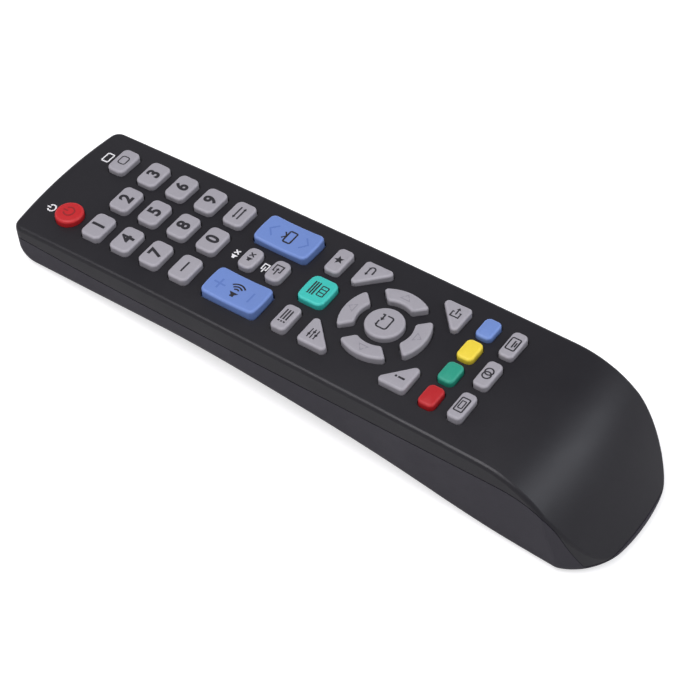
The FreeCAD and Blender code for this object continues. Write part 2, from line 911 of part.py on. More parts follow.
def infrared_led():
    """Round emitter at the front, hung below the board's front edge."""
    z = led_axis_height()
    nose = front_edge_y - led_setback
    start = led_start()
    body = Part.makeCylinder(led_radius, led_length - led_radius, vec(0, start, z), vec(0, 1, 0))
    dome = Part.makeSphere(led_radius, vec(0, nose - led_radius, z))
    rim = Part.makeCylinder(led_rim_radius, led_rim_thickness, vec(0, start, z), vec(0, 1, 0))
    pins = []
    half = led_pin_width / 2.0
    for side in (-1.0, 1.0):
        corner = vec(side * led_pin_spacing / 2.0 - half, start - led_pin_run, z - half)
        pins.append(Part.makeBox(led_pin_width, led_pin_run, led_pin_width, corner))
        pins.append(Part.makeBox(led_pin_width, led_pin_width, board_low() - z + half, corner))
    return one_solid(body.multiFuse([dome, rim] + pins))


def controller_chip():
    """Flat chip with a row of bent pins on two sides, under the board."""
    half = chip_width / 2.0
    corner = vec(-half, chip_y - chip_length / 2.0, board_low() - chip_lift - chip_height)
    body = Part.makeBox(chip_width, chip_length, chip_height, corner)
    first_y = chip_y - (chip_pin_count - 1) * chip_pin_pitch / 2.0 - chip_pin_width / 2.0
    low = board_low() - chip_pin_height
    pins = []
    for row in range(chip_pin_count):
        y = first_y + chip_pin_pitch * row
        arm = Part.makeBox(chip_pin_reach - chip_foot_length + chip_pin_overlap + chip_pin_thickness,
                           chip_pin_width, chip_pin_thickness, vec(half - chip_pin_overlap, y, low))
        foot = Part.makeBox(chip_foot_length, chip_pin_width, chip_pin_height,
                            vec(half + chip_pin_reach - chip_foot_length, y, low))
        for piece in (arm, foot):
            pins += [piece, piece.mirror(vec(0, 0, 0), vec(1, 0, 0))]
    return one_solid(body.multiFuse(pins))


def resonator():
    low = board_low() - resonator_height
    can = rounded_box(resonator_width, resonator_length, resonator_corner, low, board_low())
    return can.translate(vec(0, resonator_y, 0))


def storage_capacitor():
    start = vec(0, capacitor_y, board_low() - capacitor_radius)
    can = Part.makeCylinder(capacitor_radius, capacitor_length, start, vec(0, 1, 0))
    rims = [edge for edge in can.Edges if len(edge.Vertexes) == 1]
    return can.makeFillet(capacitor_edge, rims)


def driver_transistor():
    """Half-round transistor lying against the board."""
    start = vec(0, transistor_y, board_low())
    can = Part.makeCylinder(transistor_radius, transistor_length, start, vec(0, 1, 0))
    low = vec(-far / 2.0, transistor_y - far / 2.0, board_low() - far)
    return can.common(Part.makeBox(far, far, far, low))


def resistors():
    """Flat resistors in a row on the board's lower side."""
    width, length, height = resistor_size
    row = []
    for index in range(resistor_count):
        corner = vec(-width / 2.0, resistor_y - resistor_pitch * index, board_low() - height)
        row.append(Part.makeBox(width, length, height, corner))
    return Part.makeCompound(row)


def level_pieces():
    """Every piece by name, in the level frame."""
    keys = key_list()
    outer_form = one_solid(rounded_tub().common(under_face_at(0)))

    def along_face(p):
        return abs(p.z - face_point_height(p.x, p.y)) < face_edge_band

    outer = one_solid(outer_form.makeFillet(face_edge_radius, edges_near(outer_form, along_face)))
    inner = envelope(wall)
    top, bottom = case_halves(outer, inner, keys)
    pieces = {
        "top_case": top,
        "bottom_case": bottom_case(bottom, outer),
        "battery_door": battery_door(outer),
        "keypad_mat": keypad_mat(keys),
        "circuit_board": circuit_board(),
        "infrared_led": infrared_led(),
        "battery_left": cell(-1.0, True),
        "battery_right": cell(1.0, False),
        "contact_positive": in_bay(one_solid(contact_leaf(-1.0, 3.2, True))),
        "contact_negative": in_bay(one_solid(contact_leaf(1.0, 5.0, True))),
        "contact_bridge": contact_bridge(),
        "controller_chip": controller_chip(),
        "resonator": resonator(),
        "storage_capacitor": storage_capacitor(),
        "driver_transistor": driver_transistor(),
        "resistors": resistors(),
    }
    for name, outline, middle, rise, kind in keys:
        pieces[name] = key_solid(outline, middle, rise, kind)
    return pieces


def standing_shift(pieces):
    """Move that puts the tipped handset's bottom centre at the origin."""
    box = pieces["bottom_case"].optimalBoundingBox(False, False)
    for piece in pieces.values():
        box.add(piece.optimalBoundingBox(False, False))
    return vec(-box.Center.x, -box.Center.y, -box.ZMin)


def main():
    os.makedirs("parts", exist_ok=True)
    pieces = level_pieces()
    for piece in pieces.values():
        piece.rotate(vec(0, 0, 0), vec(1, 0, 0), -math.degrees(foot_slope()))
    shift = standing_shift(pieces)
    for name, piece in pieces.items():
        piece.translate(shift)
        piece.exportStep("parts/" + name + ".step")
    print("tip", -math.degrees(foot_slope()), "shift", shift, "bay", math.degrees(bay_angle()))


main()
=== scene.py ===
import math
import bmesh
import bpy
from mathutils import Matrix, Vector


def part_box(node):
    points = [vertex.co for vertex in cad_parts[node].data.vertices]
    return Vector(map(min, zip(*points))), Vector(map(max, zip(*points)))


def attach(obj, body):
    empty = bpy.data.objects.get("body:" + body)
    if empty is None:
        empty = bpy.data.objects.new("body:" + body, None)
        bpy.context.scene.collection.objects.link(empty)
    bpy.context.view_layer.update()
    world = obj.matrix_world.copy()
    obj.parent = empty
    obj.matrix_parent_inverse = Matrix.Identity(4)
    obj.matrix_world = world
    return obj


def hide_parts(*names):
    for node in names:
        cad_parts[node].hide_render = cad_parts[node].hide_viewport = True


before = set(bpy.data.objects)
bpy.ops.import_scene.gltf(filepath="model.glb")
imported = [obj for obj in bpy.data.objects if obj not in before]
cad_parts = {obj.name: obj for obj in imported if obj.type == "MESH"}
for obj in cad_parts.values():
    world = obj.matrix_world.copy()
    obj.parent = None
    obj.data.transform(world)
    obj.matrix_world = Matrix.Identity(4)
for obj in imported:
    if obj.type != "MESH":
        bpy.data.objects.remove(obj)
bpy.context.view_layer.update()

# The shells: two halves moulded in dark grey plastic, with a fine eroded texture
# that scatters the light. The upper one carries the face and bends down into the
# rear end, the lower one holds the cells, and a thin groove parts the two.

def new_group(name, inputs, outputs):
    group = bpy.data.node_groups.new(name, "ShaderNodeTree")
    for label, value in inputs:
        socket = group.interface.new_socket(label, in_out="INPUT", socket_type="NodeSocketFloat")
        socket.default_value = value
    for label in outputs:
        group.interface.new_socket(label, in_out="OUTPUT", socket_type="NodeSocketFloat")
    start = group.nodes.new("NodeGroupInput")
    end = group.nodes.new("NodeGroupOutput")
    return group, start, end


def calculation(tree, operation, first, second):
    """One step of arithmetic on two values, each a number or another node's output."""
    node = tree.nodes.new("ShaderNodeMath")
    node.operation = operation
    for index, value in enumerate([first, second]):
        if isinstance(value, (int, float)):
            node.inputs[index].default_value = value
        else:
            tree.links.new(value, node.inputs[index])
    return node.outputs[0]


def noise(tree, place, scale, detail, roughness=0.5):
    node = tree.nodes.new("ShaderNodeTexNoise")
    node.inputs["Detail"].default_value = detail
    node.inputs["Roughness"].default_value = roughness
    tree.links.new(place, node.inputs["Vector"])
    tree.links.new(scale, node.inputs["Scale"])
    return node.outputs["Fac"]


def moulded_texture():
    """Eroded grain of a mould, soft flow marks and the patches left by hands."""
    group, start, end = new_group(
        "moulded_texture", [("Grain per metre", 2600.0), ("Patches per metre", 45.0)],
        ["Height", "Tone", "Handled"])
    place = group.nodes.new("ShaderNodeTexCoord").outputs["Object"]
    grain = noise(group, place, start.outputs["Grain per metre"], 3.0, 0.6)
    flow = noise(group, place, start.outputs["Patches per metre"], 3.0, 0.55)
    patch_scale = calculation(group, "MULTIPLY", start.outputs["Patches per metre"], 0.55)
    handled = noise(group, place, patch_scale, 5.0, 0.65)
    sharper = group.nodes.new("ShaderNodeMapRange")
    sharper.inputs["From Min"].default_value = 0.42
    sharper.inputs["From Max"].default_value = 0.66
    group.links.new(handled, sharper.inputs["Value"])
    speck = noise(group, place, calculation(group, "MULTIPLY", start.outputs["Grain per metre"], 0.35),
                  2.0)
    tone = calculation(group, "ADD", calculation(group, "MULTIPLY", flow, 0.6),
                       calculation(group, "MULTIPLY", speck, 0.4))
    group.links.new(grain, end.inputs["Height"])
    group.links.new(tone, end.inputs["Tone"])
    group.links.new(sharper.outputs[0], end.inputs["Handled"])
    return group


texture_group = moulded_texture()


def blend_colours(tree, share, first, second):
    mix = tree.nodes.new("ShaderNodeMix")
    mix.data_type = "RGBA"
    for socket, value in ((mix.inputs[6], first), (mix.inputs[7], second)):
        if isinstance(value, tuple):
            socket.default_value = (*value, 1.0)
        else:
            tree.links.new(value, socket)
    tree.links.new(share, mix.inputs[0])
    return mix.outputs[2]


def moulded(name, dark, light, rough_low, rough_high, grain=2600.0, depth=0.00002, specular=0.4,
            rim=None):
    """Moulded plastic or rubber. Rim is a lighter colour on the rounded edges, from the mesh's rim value:
    partly edge wear, partly a painted highlight.
    """
    material = bpy.data.materials.new(name)
    material.use_nodes = True
    tree = material.node_tree
    shader = tree.nodes["Principled BSDF"]
    texture = tree.nodes.new("ShaderNodeGroup")
    texture.node_tree = texture_group
    texture.inputs["Grain per metre"].default_value = grain
    colour = blend_colours(tree, texture.outputs["Tone"], dark, light)
    # The rim colour lightens the rounded edges: partly edge wear, partly a painted highlight.
    if rim:
        rim_wear_and_highlight_share = tree.nodes.new("ShaderNodeAttribute")
        rim_wear_and_highlight_share.attribute_name = "rim"
        patchy = calculation(tree, "MULTIPLY", rim_wear_and_highlight_share.outputs["Fac"], texture.outputs["Tone"])
        colour = blend_colours(tree, patchy, colour, rim)
    tree.links.new(colour, shader.inputs["Base Color"])
    rough = tree.nodes.new("ShaderNodeMapRange")
    rough.inputs["To Min"].default_value = rough_high
    rough.inputs["To Max"].default_value = rough_low
    tree.links.new(texture.outputs["Handled"], rough.inputs["Value"])
    tree.links.new(rough.outputs[0], shader.inputs["Roughness"])
    bump = tree.nodes.new("ShaderNodeBump")
    bump.inputs["Distance"].default_value = depth
    bump.inputs["Strength"].default_value = 0.6
    tree.links.new(texture.outputs["Height"], bump.inputs["Height"])
    tree.links.new(bump.outputs[0], shader.inputs["Normal"])
    shader.inputs["Specular IOR Level"].default_value = specular
    return material


def dress(node, material):
    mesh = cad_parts[node].data
    mesh.materials.clear()
    mesh.materials.append(material)


case_top = moulded("case_top", (0.0085, 0.0080, 0.0105), (0.0135, 0.0130, 0.0160), 0.34, 0.44,
                   depth=0.00002, specular=0.42)
case_bottom = moulded("case_bottom", (0.023, 0.0210, 0.029), (0.034, 0.031, 0.041), 0.42, 0.55,
                      depth=0.00004, specular=0.4)
dress("top_case", case_top)
dress("bottom_case", case_bottom)

# The battery door: a curved cover of the lower shell's plastic that slides off
# along two rails. Grooves across it give the thumb a grip.

dress("battery_door", case_bottom)

# The keys: silicone rubber, moulded in one colour each, with a softly crowned top
# and rounded rims. Each stands on a flange that stops it under the face, and a
# post under it presses the contact on the board.

# Keys and prints are drawn in millimetres on the level handset, face up, with the
# origin on the face. Lean is how far it tips as it lies on its belly.
LEAN = math.radians(5.825804)
BOARD_MIDDLE = Vector((0.0, -52.5, -6.6))
FACE_REST, FACE_LENGTH_CURVE, FACE_WIDTH_CURVE = -30.0, 5320.0, 550.0
CASE_WALL, FLANGE_ROOM = 1.6, 0.25


def turned(point):
    """A point of the level drawing, in millimetres, turned as the handset lies."""
    x, y, z = point
    return Vector((x, y * math.cos(LEAN) + z * math.sin(LEAN), z * math.cos(LEAN) - y * math.sin(LEAN)))


board_low, board_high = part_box("circuit_board")
standing = (board_low + board_high) * 500.0 - turned(BOARD_MIDDLE)


def stood(point):
    return (turned(point) + standing) / 1000.0


def face_height(x, y):
    """Height of the face over the level drawing's origin."""
    return -(y - FACE_REST) ** 2 / FACE_LENGTH_CURVE - x ** 2 / FACE_WIDTH_CURVE


def rounded_corners(corners, radius, steps=9):
    """Points round a polygon whose corners are rounded, anticlockwise."""
    points = []
    for index, here in enumerate(corners):
        before = (Vector(corners[index - 1]) - Vector(here)).normalized()
        after = (Vector(corners[(index + 1) % len(corners)]) - Vector(here)).normalized()
        half = before.angle(after) / 2.0
        middle = Vector(here) + (before + after).normalized() * radius / math.sin(half)
        start = Vector(here) + before * radius / math.tan(half) - middle
        sweep = math.pi - 2.0 * half
        for step in range(steps):
            points.append(middle + Matrix.Rotation(sweep * step / (steps - 1.0), 2) @ start)
    return points


def even(points, pitch):
    """Adds points on the long straight runs of a closed outline."""
    full = []
    for index, here in enumerate(points):
        after = points[(index + 1) % len(points)]
        parts = max(1, round((after - here).length / pitch))
        full += [here.lerp(after, step / parts) for step in range(parts)]
    return full


def box_outline(width, length, corner, arch=0.0):
    x, y = width / 2.0, length / 2.0
    outline = even(rounded_corners([(-x, -y), (x, -y), (x, y), (-x, y)], corner), 0.9)
    for point in outline:
        share = 1.0 - (point.x / x) ** 2
        point.y += arch * share * point.y / y
    return outline


def round_outline(radius, count=72):
    return [Vector((math.cos(turn), math.sin(turn))) * radius
            for turn in (2.0 * math.pi * step / count for step in range(count))]


def outward(points):
    normals = []
    for index, here in enumerate(points):
        along = (points[(index + 1) % len(points)] - points[index - 1]).normalized()
        normals.append(Vector((along.y, -along.x)))
    return normals


key_tops = {}
FLANGE_REACH, FLANGE_THICKNESS = 0.7, 0.6
SOFT_EDGE = 0.1
POST_RADIUS = 1.5
POST_END = -5.1
RIM_STEPS = 7


def key_mesh(name, outline, middle, rise, crown, rim_radius, bend=None, saddle=0.0, posts=((0.0, 0.0),),
             post_shift=0.0):
    """One closed key: post, flange, skirt, rounded rim and crowned top."""
    normals = outward(outline)
    face = face_height(*middle)
    top = face + rise
    reach = max(abs(p.y) for p in outline)
    flange_top = frame_flange(name)

    def top_height(x, y, share):
        return top + crown * (1.0 - share ** 2) + saddle * (y / reach) ** 2

    rings = []

    def ring(offset, height, rim=0.0, share=1.0, follow=False):
        points = []
        for point, normal in zip(outline, normals):
            flat = (point + normal * offset) * share
            rise_here = top_height(flat.x, flat.y, share) - top if follow else 0.0
            points.append((flat, height + rise_here, rim))
        rings.append(points)

    single = len(posts) == 1
    if single:
        for scale, height in ((0.75, POST_END), (1.0, POST_END + 0.3), (1.0, flange_top - FLANGE_THICKNESS)):
            circle = [(p.normalized() * POST_RADIUS * scale + Vector((0.0, post_shift)), height, 0.0)
                      for p in outline]
            rings.append(circle)
    ring(FLANGE_REACH - SOFT_EDGE, flange_top - FLANGE_THICKNESS)
    ring(FLANGE_REACH, flange_top - FLANGE_THICKNESS + SOFT_EDGE)
    ring(FLANGE_REACH, flange_top - SOFT_EDGE)
    ring(FLANGE_REACH - SOFT_EDGE, flange_top)
    ring(SOFT_EDGE / 2.0, flange_top)
    ring(0.0, flange_top + SOFT_EDGE)
    for share in (0.3, 0.6, 0.85):
        ring(0.0, flange_top + (top - rim_radius - flange_top) * share, 0.0, 1.0)
    for step in range(RIM_STEPS + 1):
        turn = math.pi / 2.0 * step / RIM_STEPS
        # The rim value peaks halfway round the rounding, where the lighter rim colour stands for wear and for
        # a painted highlight.
        rim_wear_and_highlight_share = math.sin(2.0 * turn)
        ring(rim_radius * (math.cos(turn) - 1.0), top - rim_radius * (1.0 - math.sin(turn)), rim_wear_and_highlight_share, 1.0,
             True)
    last = len(rings) - 1
    for share in (0.9, 0.75, 0.55, 0.3):
        inner = []
        for flat, height, rim in rings[last]:
            spot = flat * share
            inner.append((spot, top_height(spot.x, spot.y, share), 0.0))
        rings.append(inner)

    mesh = bpy.data.meshes.new(name)
    bm = bmesh.new()
    rim_layer = bm.verts.layers.float.new("rim")

    def vertex(flat, height, rim):
        if bend:
            flat = bend(flat)
        made = bm.verts.new(stood((middle[0] + flat.x, middle[1] + flat.y, height)))
        made[rim_layer] = rim
        return made

    rows = [[vertex(*point) for point in points] for points in rings]
    for low, high in zip(rows, rows[1:]):
        for index in range(len(low)):
            after = (index + 1) % len(low)
            bm.faces.new((low[index], low[after], high[after], high[index]))
    centre = vertex(Vector((0.0, 0.0)), top_height(0.0, 0.0, 0.0), 0.0)
    floor = vertex(Vector((0.0, 0.0)), rings[0][0][1], 0.0)
    for index in range(len(rows[0])):
        after = (index + 1) % len(rows[0])
        bm.faces.new((rows[-1][index], rows[-1][after], centre))
        bm.faces.new((rows[0][after], rows[0][index], floor))
    if not single:
        for post_x, post_y in posts:
            add_post(bm, middle[0] + post_x, middle[1] + post_y, flange_top - 0.4)
    bmesh.ops.recalc_face_normals(bm, faces=bm.faces)
    for face_made in bm.faces:
        face_made.smooth = True
    bm.to_mesh(mesh)
    bm.free()
    mesh.set_sharp_from_angle(angle=math.radians(50.0))
    key = bpy.data.objects.new(name + "_cap", mesh)
    bpy.context.scene.collection.objects.link(key)
    key_tops[name] = (middle, outline, rim_radius, top_height, bend)
    return key


def add_post(bm, x, y, high):
    count = 32
    rows = []
    for radius, height in ((POST_RADIUS - 0.3, POST_END - 0.3), (POST_RADIUS, POST_END), (POST_RADIUS, high)):
        rows.append([bm.verts.new(stood((x + radius * math.cos(turn), y + radius * math.sin(turn), height)))
                     for turn in (2.0 * math.pi * step / count for step in range(count))])
    for low, high_row in zip(rows, rows[1:]):
        for index in range(count):
            after = (index + 1) % count
            bm.faces.new((low[index], low[after], high_row[after], high_row[index]))
    bm.faces.new(rows[0][::-1])
    bm.faces.new(rows[-1])


def frame_flange(name):
    """Height of the flange's upper side under the face, from the built key's own box."""
    low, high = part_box(name)
    middle = (low + high) * 500.0 - standing
    width = (high - low).x * 500.0
    flange_y = middle.y * math.cos(LEAN) - middle.z * math.sin(LEAN)
    return face_height(width, flange_y) - CASE_WALL - FLANGE_ROOM


def key_material(name, colour, deeper=0.88, sheen=0.42):
    dark = tuple(value * deeper for value in colour)
    light = tuple(min(1.0, value * 1.08) for value in colour)
    # A lighter rim colour for the rounded edges: partly edge wear, partly a painted highlight.
    rim_wear_and_highlight = tuple(min(1.0, value * 1.25 + 0.02) for value in colour)
    return moulded(name, dark, light, sheen, sheen + 0.12, grain=5200.0, depth=0.00001, rim=rim_wear_and_highlight)


grey_rubber = key_material("key_grey", (0.335, 0.325, 0.350))
power_rubber = key_material("key_power_red", (0.50, 0.012, 0.016))
red_rubber = key_material("key_red", (0.44, 0.010, 0.014))
green_rubber = key_material("key_green", (0.018, 0.300, 0.200))
yellow_rubber = key_material("key_yellow", (0.80, 0.62, 0.045))
blue_rubber = key_material("key_blue", (0.150, 0.250, 0.560))
rocker_rubber = key_material("key_rocker", (0.145, 0.238, 0.540))
menu_rubber = key_material("key_menu", (0.040, 0.500, 0.430))


def make_key(name, material, slot, *shape, **more):
    key = key_mesh(name, *shape, **more)
    key.data.materials.append(material)
    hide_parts(name)
    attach(key, name)


COLUMN_PITCH, ROW_PITCH, FIRST_ROW = 12.0, 10.05, 0.65
PUSH_RISE, PUSH_CROWN, PUSH_RIM = 1.7, 0.1, 0.75
CORNER_INNER, CORNER_OUTER = 5.9, 16.5
CORNER_FRONT, CORNER_REAR = (-69.0, -10.3), (-102.3, 9.6)


def grey_key(name, outline, middle, crown=PUSH_CROWN, **more):
    make_key(name, grey_rubber, "key_grey", outline, middle, PUSH_RISE, crown, PUSH_RIM, **more)


digits = ["1", "2", "3", "4", "5", "6", "7", "8", "9", "dash", "0", "previous"]
for index, digit in enumerate(digits):
    middle = ((index % 3 - 1) * COLUMN_PITCH, FIRST_ROW - (index // 3) * ROW_PITCH)
    grey_key("key_" + digit, box_outline(9.1, 6.5, 1.75), middle)
grey_key("key_television", box_outline(9.1, 5.8, 1.75), (COLUMN_PITCH, 11.4))
make_key("key_power", power_rubber, "key_power_red", round_outline(4.1), (-12.2, 11.0), 1.8, 0.25, 0.85)
for name, side in (("key_volume", -1), ("key_channel", 1)):
    make_key(name, rocker_rubber, "key_rocker", box_outline(10.2, 17.2, 1.5, 0.35),
             (side * 11.6, -46.55), 2.0, 0.0, 0.8, saddle=0.45, posts=((0.0, 5.0), (0.0, -5.0)))
for name, y in (("key_mute", -42.4), ("key_source", -51.3)):
    grey_key(name, box_outline(7.7, 4.45, 1.6, 0.3), (0.0, y))
for name, side in (("key_channel_list", -1), ("key_favourite", 1)):
    grey_key(name, box_outline(9.1, 4.8, 1.5), (side * COLUMN_PITCH, -62.75))
make_key("key_menu", menu_rubber, "key_menu", box_outline(9.4, 7.85, 1.8, 0.3), (0.0, -64.4),
         PUSH_RISE, 0.12, PUSH_RIM)
corner_keys = [("key_tools", -1, 1), ("key_return", 1, 1), ("key_info", -1, -1), ("key_exit", 1, -1)]
for name, side, front in corner_keys:
    near, length = CORNER_FRONT if front > 0 else CORNER_REAR
    corners = [(side * CORNER_INNER, near), (side * CORNER_OUTER, near), (side * CORNER_OUTER, near + length)]
    if side * front > 0:
        corners.reverse()
    outline = even(rounded_corners(corners, 1.2), 0.8)
    centre = sum(outline, Vector((0.0, 0.0))) / len(outline)
    grey_key(name, [point - centre for point in outline], tuple(centre))

RING_MIDDLE = Vector((0.0, -85.6))
grey_key("key_enter", round_outline(5.4, 80), tuple(RING_MIDDLE), 0.12)
RING_INNER, RING_OUTER, RING_GAP = 7.9, 12.5, 4.5
ring_radius = (RING_INNER + RING_OUTER) / 2.0
ring_half = ring_radius * (math.pi / 4.0 - math.asin(RING_GAP / 2.0 / ring_radius))


def ring_bend(turn):
    """Bends a straight bar into a quarter of the ring, with its ends along the diagonals."""
    def bend(flat):
        radius = ring_radius + flat.y
        end = math.pi / 4.0 - math.asin(min(1.0, RING_GAP / 2.0 / radius))
        angle = flat.x / ring_half * end - turn
        return Vector((radius * math.sin(angle), radius * math.cos(angle)))
    return bend


def ring_post_shift(steps=60):
    """How far a ring key's centre of mass lies from the ring's middle line."""
    width = (RING_OUTER - RING_INNER) / steps
    moment = area = 0.0
    for step in range(steps):
        radius = RING_INNER + width * (step + 0.5)
        half_turn = math.pi / 4.0 - math.asin(RING_GAP / 2.0 / radius)
        moment += radius ** 2 * math.sin(half_turn)
        area += radius * half_turn
    return moment / area - ring_radius


for name, turn in (("key_up", 0.0), ("key_left", 0.5), ("key_down", 1.0), ("key_right", 1.5)):
    grey_key(name, box_outline(2.0 * ring_half, RING_OUTER - RING_INNER, 0.9), tuple(RING_MIDDLE),
             bend=ring_bend(turn * math.pi), post_shift=ring_post_shift())
for index, (name, material) in enumerate((("key_red", red_rubber), ("key_green", green_rubber),
                                          ("key_yellow", yellow_rubber), ("key_blue", blue_rubber))):
    make_key(name, material, name, box_outline(7.0, 4.9, 1.6), ((index - 1.5) * 8.9, -108.75), 1.6, 0.3, 0.8)
for index, name in enumerate(("key_picture_size", "key_sound", "key_captions")):
    grey_key(name, box_outline(9.2, 4.4, 1.5), ((index - 1) * COLUMN_PITCH, -117.0))

# The rubber mat and the board under it: green glass-fibre laminate that the posts
# press on, with a few parts on its lower side.

mat_rubber = moulded("rubber_mat", (0.09, 0.09, 0.09), (0.13, 0.13, 0.13), 0.55, 0.7)
laminate = moulded("board_laminate", (0.020, 0.120, 0.045), (0.030, 0.160, 0.065), 0.3, 0.4, grain=900.0)
black_resin = moulded("chip_resin", (0.012, 0.012, 0.012), (0.020, 0.020, 0.020), 0.4, 0.55)
dress("keypad_mat", mat_rubber)
dress("circuit_board", laminate)
for node in ("controller_chip", "driver_transistor", "resistors"):
    dress(node, black_resin)


def metal(name, colour, rough, grain=1500.0):
    material = moulded(name, tuple(0.85 * value for value in colour), colour, rough, rough + 0.15,
                       grain=grain, depth=0.000004)
    material.node_tree.nodes["Principled BSDF"].inputs["Metallic"].default_value = 1.0
    return material


tinned_steel = metal("tinned_steel", (0.62, 0.61, 0.58), 0.25)
dress("resonator", tinned_steel)
dress("storage_capacitor", metal("capacitor_sleeve", (0.50, 0.50, 0.53), 0.35))
for node in ("contact_positive", "contact_negative", "contact_bridge"):
    dress(node, tinned_steel)
dress("infrared_led", moulded("dark_lens", (0.030, 0.012, 0.045), (0.045, 0.020, 0.060), 0.08, 0.16,
                              depth=0.000002, specular=0.6))

# The cells: two small round cells side by side in the bay, steel cans in a plain
# dark plastic sleeve.

sleeve = moulded("cell_sleeve", (0.020, 0.022, 0.030), (0.030, 0.032, 0.040), 0.25, 0.35,
                 depth=0.000004, specular=0.6)
dress("battery_left", sleeve)
dress("battery_right", sleeve)

# The print: dark marks on the keys, tone-on-tone marks pressed into the rubber and drawn
# in a darker tone as painted shade, and white marks on the face. Each is a thin layer of ink that follows its
# surface.

PRINT_DEPTH, PRINT_HEIGHT = 0.04, 0.02
LONGEST_PRINT_EDGE = 1.1


def ink(name, colour, rough):
    return moulded(name, tuple(0.9 * value for value in colour), colour, rough, rough + 0.1,
                   grain=8000.0, depth=0.000004)


dark_ink = ink("dark_ink", (0.016, 0.015, 0.019), 0.55)
white_ink = ink("white_ink", (0.82, 0.82, 0.82), 0.5)


def wall_and_caps(bm, outline):
    """A flat patch with thickness: z 0 is its underside and z 1 its upper side."""
    low = [bm.verts.new((p[0], p[1], 0.0)) for p in outline]
    high = [bm.verts.new((p[0], p[1], 1.0)) for p in outline]
    bm.faces.new(high)
    bm.faces.new(low[::-1])
    for index in range(len(low)):
        after = (index + 1) % len(low)
        bm.faces.new((low[index], low[after], high[after], high[index]))


def stroke(bm, points, width, closed=False):
    """A drawn line of even width, with mitred corners."""
    points = [Vector(p) for p in points]
    count = len(points)
    sides = []
    for index, here in enumerate(points):
        before = points[index - 1] if index or closed else None
        after = points[(index + 1) % count] if index < count - 1 or closed else None
        ways = [way.normalized() for way in ((here - before) if before is not None else None,
                                             (after - here) if after is not None else None)
                if way is not None]
        along = sum(ways, Vector((0.0, 0.0))).normalized()
        across = Vector((-along.y, along.x))
        reach = width / 2.0 / max(0.4, along.dot(ways[0]))
        sides.append((here - across * reach, here + across * reach))
    runs = range(count) if closed else range(count - 1)
    verts = [[bm.verts.new((p.x, p.y, level)) for level in (0.0, 1.0) for p in pair] for pair in sides]
    for index in runs:
        a = verts[index]
        b = verts[(index + 1) % count]
        bm.faces.new((a[2], b[2], b[3], a[3]))
        bm.faces.new((a[0], a[1], b[1], b[0]))
        bm.faces.new((a[0], b[0], b[2], a[2]))
        bm.faces.new((a[1], a[3], b[3], b[1]))
    if not closed:
        first, last = verts[0], verts[-1]
        bm.faces.new((first[0], first[2], first[3], first[1]))
        bm.faces.new((last[0], last[1], last[3], last[2]))


def arc(x, y, radius, start, end, count=14):
    return [(x + radius * math.cos(math.radians(start + (end - start) * step / (count - 1.0))),
             y + radius * math.sin(math.radians(start + (end - start) * step / (count - 1.0))))
            for step in range(count)]


def rectangle(x, y, width, height, corner):
    outline = rounded_corners([(-width / 2.0, -height / 2.0), (width / 2.0, -height / 2.0),
                               (width / 2.0, height / 2.0), (-width / 2.0, height / 2.0)], corner, 5)
    return [(p.x + x, p.y + y) for p in outline]


def figure(bm, text, height, width_share=0.92, weight=0.040):
    """A plain number, drawn with the built-in letter shapes."""
    curve = bpy.data.curves.new("figure", "FONT")
    curve.body = text
    curve.offset = weight
    curve.extrude = 0.5
    curve.resolution_u = 6
    carrier = bpy.data.objects.new("figure", curve)
    bpy.context.scene.collection.objects.link(carrier)
    mesh = bpy.data.meshes.new_from_object(carrier)
    bpy.data.objects.remove(carrier)
    bpy.data.curves.remove(curve)
    xs = [v.co.x for v in mesh.vertices]
    ys = [v.co.y for v in mesh.vertices]
    scale = height / (max(ys) - min(ys))
    middle = Vector(((max(xs) + min(xs)) / 2.0, (max(ys) + min(ys)) / 2.0, -0.5))
    for v in mesh.vertices:
        v.co = Vector(((v.co.x - middle.x) * scale * width_share, (v.co.y - middle.y) * scale,
                       0.0 if v.co.z < 0.0 else 1.0))
    bm.from_mesh(mesh)
    bpy.data.meshes.remove(mesh)


def speaker(bm, x, size):
    outline = [(-1.0, -0.45), (-0.45, -0.45), (0.25, -1.1), (0.25, 1.1), (-0.45, 0.45), (-1.0, 0.45)]
    wall_and_caps(bm, [(x + p[0] * size, p[1] * size) for p in outline])


def mark_volume(bm):
    speaker(bm, -1.5, 1.25)
    for radius in (1.0, 1.9, 2.8):
        stroke(bm, arc(-0.9, 0.0, radius, -48, 48), 0.5)


def mark_channel(bm):
    stroke(bm, rectangle(0.0, -0.45, 4.2, 2.3, 0.4), 0.5, True)
    stroke(bm, [(-1.2, 1.75), (0.0, 0.75), (1.2, 1.75)], 0.45)


def mark_mute(bm):
    speaker(bm, -0.5, 0.95)
    stroke(bm, [(0.3, -0.75), (1.6, 0.75)], 0.4)
    stroke(bm, [(0.3, 0.75), (1.6, -0.75)], 0.4)


def mark_source(bm):
    stroke(bm, [(-0.6, 0.6), (-0.6, 1.15), (1.6, 1.15), (1.6, -1.15), (-0.6, -1.15), (-0.6, -0.6)], 0.4)
    stroke(bm, [(-1.9, 0.0), (0.1, 0.0)], 0.4)
    wall_and_caps(bm, [(0.0, -0.6), (0.75, 0.0), (0.0, 0.6)])


def mark_television(bm):
    stroke(bm, rectangle(0.0, 0.0, 3.0, 2.4, 0.7), 0.37, True)


def mark_previous(bm):
    stroke(bm, [(-1.6, 0.7), (2.3, 0.7)], 0.48)
    wall_and_caps(bm, [(-2.4, 0.7), (-1.5, 0.15), (-1.5, 1.25)])
    stroke(bm, [(-2.3, -0.7), (1.6, -0.7)], 0.48)
    wall_and_caps(bm, [(2.4, -0.7), (1.5, -0.15), (1.5, -1.25)])


